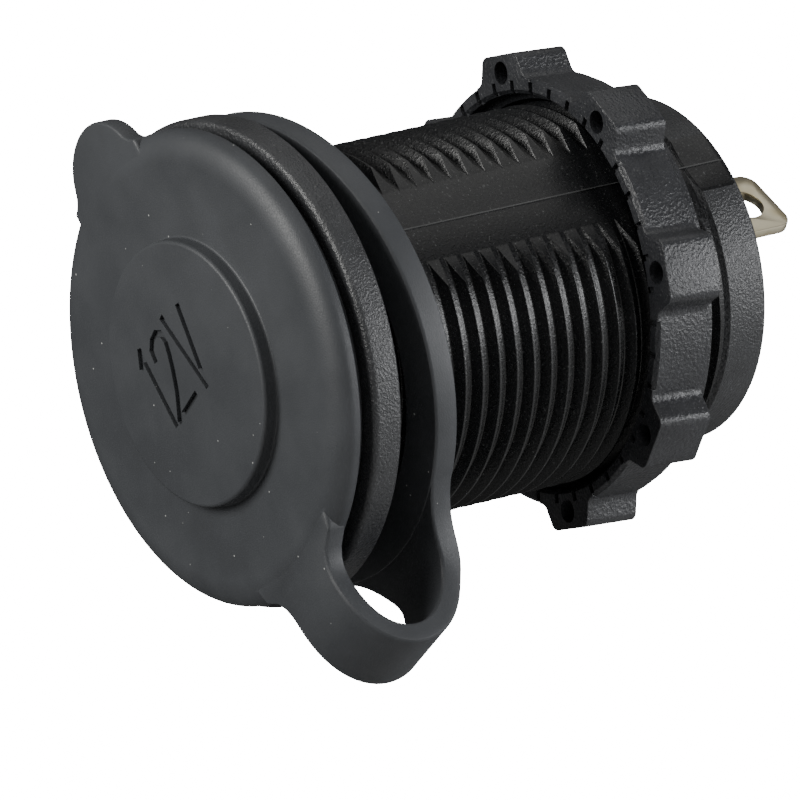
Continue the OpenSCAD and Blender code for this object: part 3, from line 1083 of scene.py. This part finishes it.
@dataclass
class RubberCap:
    """Rubber cap with a raised boss, a thumb tab, a plug with two beads and the tether."""

    strap: Strap = field(default_factory=Strap)
    boss_y: float = -6.5
    boss_r: float = 10.2
    boss_edge: float = 0.3
    boss_foot: float = 0.2
    plate_y: float = -5.3
    plate_r: float = 15.9
    rim_r: float = 18.25
    rim_rear: float = -3.4
    seat_y: float = -2.65
    seat_r: float = 17.25
    plug_r: float = 9.88
    bead_at: Point2 = (2.2, 4.2)
    bead_shape: tuple[Point2, ...] = ((0, -0.5), (0.22, -0.25), (0.3, 0), (0.22, 0.25), (0, 0.5))
    plug_end: float = 3.55
    plug_edge: float = 0.5
    hollow_r: float = 8.28
    shoulder_h: float = 1.4
    tab_r: float = 4.7
    tab_reach: float = 21.5
    tab_front: float = -5.15
    tab_rear: float = -3.55
    tab_fillet: float = 2.0
    tab_sunk: float = 3.0
    edge: float = 0.3
    ring_r: float = 18.35
    ring_bore: float = 14.95
    ring_t: float = 2.2
    ring_tilt: float = 5.5
    ring_y: float = 2.039
    turn: float = 5.0
    mark_w: float = 0.56
    mark_depth: float = 0.34
    mark_overlap: float = 0.6
    facets: int = 144

    def profile(self) -> list[Point2]:
        """Gives the cap's profile, from the boss to the hollow of the plug.

        Returns:
            Radius and y of each point.
        """
        shoulder_w = self.rim_r - self.plate_r
        shoulder = [
            (self.plate_r + shoulder_w * x, self.plate_y + self.shoulder_h * (1 + y))
            for x, y in arc((0, 0), 1.0, -90, 0, 12)
        ]
        edge, foot, rounding = self.boss_edge, self.boss_foot, self.plug_edge
        beads = [
            (self.plug_r + rise, self.seat_y + at + shift)
            for at in self.bead_at
            for rise, shift in self.bead_shape
        ]
        return (
            [(0, self.boss_y)]
            + arc((self.boss_r - edge, self.boss_y + edge), edge, -90, 0)
            + arc((self.boss_r + foot, self.plate_y - foot), foot, 180, 90, 4)
            + shoulder
            + [(self.rim_r, self.rim_rear - 0.15), (self.rim_r - 0.15, self.rim_rear),
               (self.seat_r, self.rim_rear), (self.seat_r, self.seat_y), (self.plug_r, self.seat_y)]
            + beads
            + arc((self.plug_r - rounding, self.plug_end - rounding), rounding, 0, 90)
            + [(self.hollow_r, self.plug_end), (self.hollow_r, self.rim_rear), (0, self.rim_rear)]
        )

    def tab(self) -> Piece:
        """Models the thumb tab with its two fillets to the rim.

        Returns:
            The tab.
        """
        f, c = self.tab_fillet, self.tab_reach - self.tab_r
        z = ((self.rim_r + f) ** 2 - (self.tab_r + f) ** 2 + c * c) / (2 * c)
        x = math.sqrt((self.rim_r + f) ** 2 - z * z)
        root = math.degrees(math.atan2(z, x))
        end = math.degrees(math.atan2(z - c, x))
        right = arc((x, z), f, root - 180, end - 180, 8)
        tip = arc((0, c), self.tab_r, end, 180 - end, 24)
        left = [(-px, pz) for px, pz in reversed(right)]
        foot = (right[0][0], right[0][1] - self.tab_sunk)
        outline = [foot] + right + tip + left + [(-foot[0], foot[1])]
        piece = plate("tab", outline, self.tab_front, self.tab_rear)
        round_edges(piece, self.edge, 3, 40)
        return piece

    def mark(self) -> Piece:
        """Models the strokes of the voltage marking, to be sunk in the boss.

        Returns:
            The strokes, joined in one solid.
        """
        strokes = (
            [(-4.72, 3.42), (-3.98, 4.46), (-3.90, -2.12)],
            [(-2.66, 2.84), (-2.54, 3.64), (-1.95, 4.14), (-1.13, 4.31), (-0.56, 3.96),
             (-0.37, 3.24), (-0.71, 2.17), (-1.22, 1.01), (-1.99, -0.43), (-3.30, -2.12),
             (0.04, -1.81)],
            [(0.47, 4.72), (1.85, -2.07), (3.02, 4.29)],
        )
        half = self.mark_w / 2
        front, rear = self.boss_y - PAST, self.boss_y + self.mark_depth
        bars = []
        for stroke in strokes:
            for here, there in zip(map(Vector, stroke), map(Vector, stroke[1:])):
                along = (there - here).normalized() * half
                side = Vector((-along.y, along.x))
                first = here - along * self.mark_overlap
                last = there + along * self.mark_overlap
                corners = (first + side, last + side, last - side, first - side)
                bars.append(plate("stroke", [tuple(corner) for corner in corners], front, rear))
        for bar in bars[1:]:
            shape(bars[0], bar, Operation.JOIN)
        return bars[0]

    def build(self) -> dict[str, Piece]:
        """Models the cap, the ring and the strap between them.

        Returns:
            The three pieces by name.
        """
        cap = lathe("rubber_cap", self.profile(), self.facets)
        shape(cap, self.tab(), Operation.JOIN)
        whole = self.strap.build()
        stub = copied(whole)
        box = ((-20, -12, self.strap.cut_z), (20, 0, 0))
        shape(stub, block("keep", *box), Operation.KEEP)
        shape(whole, block("drop", *box), Operation.CUT)
        shape(cap, stub, Operation.JOIN)
        shape(cap, self.mark(), Operation.CUT)
        edge = self.edge
        ring = lathe(
            "rubber_ring",
            [(self.ring_bore, 0)]
            + arc((self.ring_r - edge, edge), edge, -90, 0, 3)
            + arc((self.ring_r - edge, self.ring_t - edge), edge, 0, 90, 3)
            + [(self.ring_bore, self.ring_t), (self.ring_bore, 0)],
            self.facets,
        )
        ring.matrix_world = Matrix.Translation((0, self.ring_y * MM, 0)) @ Matrix.Rotation(
            math.radians(self.ring_tilt), 4, "X"
        )
        settle(ring, "rubber_ring")
        pieces = {"cap": cap, "strap": settle(whole, "rubber_strap"), "ring": ring}
        for piece in pieces.values():
            smooth(piece, 30)
            turned(piece, self.turn)
        return pieces


@dataclass
class Terminal:
    """Blade terminal with its foot on the rear wall."""

    name: str
    side: int
    foot_front: float
    eye_at: float
    eye_r: float
    hole_r: float
    blade_w: float = 6.3
    blade_t: float = 0.8
    blade_r: float = 7.6
    blade_end: float = 44.6
    turn: float = 22.0
    place: float = 4.0
    corner: float = 1.2
    eye_d: float = 3.1
    eye_reach: float = 2.65
    edge: float = 0.09

    def build(self) -> Piece:
        """Models the terminal.

        Returns:
            The terminal, in one piece.
        """
        w, y0, y1, c = self.blade_w / 2, self.foot_front, self.blade_end, self.corner
        points = [(-w, y0), (w, y0)]
        points += arc((w - c, y1 - c), c, 0, 90) + arc((c - w, y1 - c), c, 90, 180)
        corners = [Vector((x, y, -self.blade_t / 2)) for x, y in points]
        piece = prism(self.name, corners, (0, 0, self.blade_t * MM))
        hole_y = y1 - self.eye_reach
        hole = pin("hole", self.eye_d / 2, Vector((0, hole_y, -2)), Vector((0, hole_y, 2)), 40)
        shape(piece, hole, Operation.CUT)
        turned(piece, self.turn)
        piece.matrix_world = Matrix.Translation((0, 0, -self.blade_r * MM))
        settle(piece, self.name)
        rise = self.eye_r * math.tan(math.radians(self.turn))
        outline = arc((0, -self.eye_at), self.eye_r, 0, 180, 24)
        outline += [(-self.eye_r, -self.blade_r - rise), (self.eye_r, -self.blade_r + rise)]
        shape(piece, plate("foot", outline, y0, y0 + self.blade_t), Operation.JOIN)
        ends = (Vector((0, y, -self.eye_at)) for y in (y0 - PAST, y0 + 2 * PAST))
        shape(piece, pin("bore", self.hole_r, *ends), Operation.CUT)
        round_edges(piece, self.edge, 2, 40)
        turned(piece, 90 * self.side + self.place)
        smooth(piece, 35)
        return piece


@dataclass
class Studio:
    """White studio with soft lights and the camera at the photograph's angle."""

    right: Vector = field(default_factory=lambda: Vector((0.4454, 0.8078, -0.3863)))
    up: Vector = field(default_factory=lambda: Vector((0.4285, 0.1865, 0.8841)))
    distance: float = 1.0
    aim: Point2 = (10.827, -3.12)
    lens: float = 598.5
    floor_z: float = -0.45
    floor_w: float = 6.0
    warm: str = "#fffefb"
    cool: str = "#fcfdff"
    soft: float = 0.08
    seen: float = 20.0

    def back(self) -> Vector:
        """Gives the direction from the socket to the camera."""
        return self.right.cross(self.up).normalized()

    def camera(self) -> None:
        """Adds the camera."""
        back = self.back()
        aside, above = self.aim
        place = self.right * aside * MM + self.up * above * MM + back * self.distance
        bpy.ops.object.camera_add(location=place)
        made = bpy.context.object
        turn = Matrix((self.right, self.up, back)).transposed()
        made.rotation_euler = turn.to_euler()
        made.data.lens = self.lens
        made.data.sensor_width = 36.0
        made.data.clip_start, made.data.clip_end = 0.01, 20.0
        bpy.context.scene.camera = made

    def light(
        self, name: str, at: Sequence[float], size: float, watts: float, colour: str
    ) -> None:
        """Adds a soft square light that faces the socket.

        Args:
            name: Its name.
            at: Its place along the camera's right, its up and towards the camera, in metres.
            size: The length of its side, in metres.
            watts: Its power.
            colour: Its colour.
        """
        place = self.right * at[0] + self.up * at[1] + self.back() * at[2]
        bpy.ops.object.light_add(type="AREA", location=place)
        made = bpy.context.object
        made.name = name
        made.rotation_euler = place.to_track_quat("Z", "Y").to_euler()
        made.data.size = size
        made.data.energy = watts
        made.data.color = linear(colour)[:3]

    def surroundings(self) -> None:
        """Makes the white surroundings, which are seen at full strength and light softly."""
        world = bpy.data.worlds.new("white_surroundings")
        bpy.context.scene.world = world
        world.use_nodes = True
        tree = world.node_tree
        tree.nodes.clear()
        path = add_node(tree, "LightPath", {})
        soft = add_node(tree, "Background", {"Color": (1, 1, 1, 1), "Strength": self.soft})
        seen = add_node(tree, "Background", {"Color": (1, 1, 1, 1), "Strength": self.seen})
        both = add_node(tree, "MixShader", (path, soft, seen))
        add_node(tree, "OutputWorld", {"Surface": both})

    def build(self) -> None:
        """Adds the camera, the lights, the white surroundings and the floor."""
        self.camera()
        for name, at, size, watts, colour in (
            ("left_softbox", (-0.3, 0.11, 0.17), 0.2, 1.72, self.warm),
            ("right_softbox", (0.85, 0.1, 0.45), 0.3, 4.2, self.cool),
            ("rear_softbox", (0.95, 0.15, -0.15), 0.3, 4.2, self.cool),
            ("front_softbox", (0.0, 0.7, 0.7), 0.45, 1.5, self.warm),
            ("overhead_softbox", (0.15, 0.95, -0.05), 0.9, 1.9, self.warm),
        ):
            self.light(name, at, size, watts, colour)
        self.surroundings()
        bpy.ops.mesh.primitive_plane_add(size=self.floor_w, location=(0, 0, self.floor_z))
        floor = settle(bpy.context.object, "studio_floor")
        dress(floor, StudioPaper().material())


def main() -> None:
    """Loads the frame and builds the socket's looks on it."""
    logging.basicConfig(level=logging.INFO, format="%(name)s: %(message)s")
    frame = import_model()
    deselect_all()

    housing_nylon = HousingNylon("Glass-filled nylon, satin on the thread", grain=0.2).material()
    eroded = GlassFilledNylon("Glass-filled nylon, spark-eroded", "#27282b", "#303134")
    nut_nylon = eroded.material()
    rubber = SoftRubber().material()
    nickel = PlatedMetal("Nickel-plated sheet steel", "#b9b6ad", "#a6a298").material()
    blade_plate = PlatedMetal("Nickel-plated brass", "#dbd3ba", "#cabfa0", 0.3).material()
    brass = PlatedMetal("Pressed bare brass", "#c9a552", "#b58f45").material()
    zinc = PlatedMetal("Zinc-plated steel", "#c3c6c8", "#aeb2b4", 0.3).material()
    hard_paper = HardPaper().material()

    housing = Housing().build()
    dress(housing, housing_nylon)
    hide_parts("housing")
    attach(housing, "housing_body")
    log.info("housing: %d faces", len(housing.data.polygons))

    nut = RingNut().build()
    dress(nut, nut_nylon)
    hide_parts("ring_nut")
    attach(nut, "nut_body")
    log.info("ring nut: %d faces", len(nut.data.polygons))

    parts = RubberCap().build()
    for part, node in (("cap", "cap"), ("strap", "tether"), ("ring", "retaining_ring")):
        dress(parts[part], rubber)
        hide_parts(node)
        log.info("rubber %s: %d faces", part, len(parts[part].data.polygons))
    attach(parts["cap"], "cap_body")
    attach(parts["ring"], "ring_body")
    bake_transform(parts["strap"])

    terminals = (
        Terminal("positive_blade", -1, 34.5, 0.0, 3.4, 2.05),
        Terminal("negative_blade", 1, 31.6, 6.0, 1.7, 0.9),
    )
    for terminal, node in zip(terminals, ("positive_terminal", "negative_terminal")):
        blade = terminal.build()
        dress(blade, blade_plate)
        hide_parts(node)
        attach(blade, "housing_body")
        log.info("%s: %d faces", terminal.name, len(blade.data.polygons))

    finishes = {
        "contact_barrel": nickel,
        "terminal_rivet": nickel,
        "inner_insulator": hard_paper,
        "rear_insulator": hard_paper,
        "centre_contact": brass,
        "centre_screw": zinc,
        "spring_washer": zinc,
        "terminal_nut": zinc,
    }
    for node, material in finishes.items():
        dress(frame["nodes"][node], material)
        log.info("%s: dressed", node)

    Studio().build()


if __name__ == "__main__":
    main()
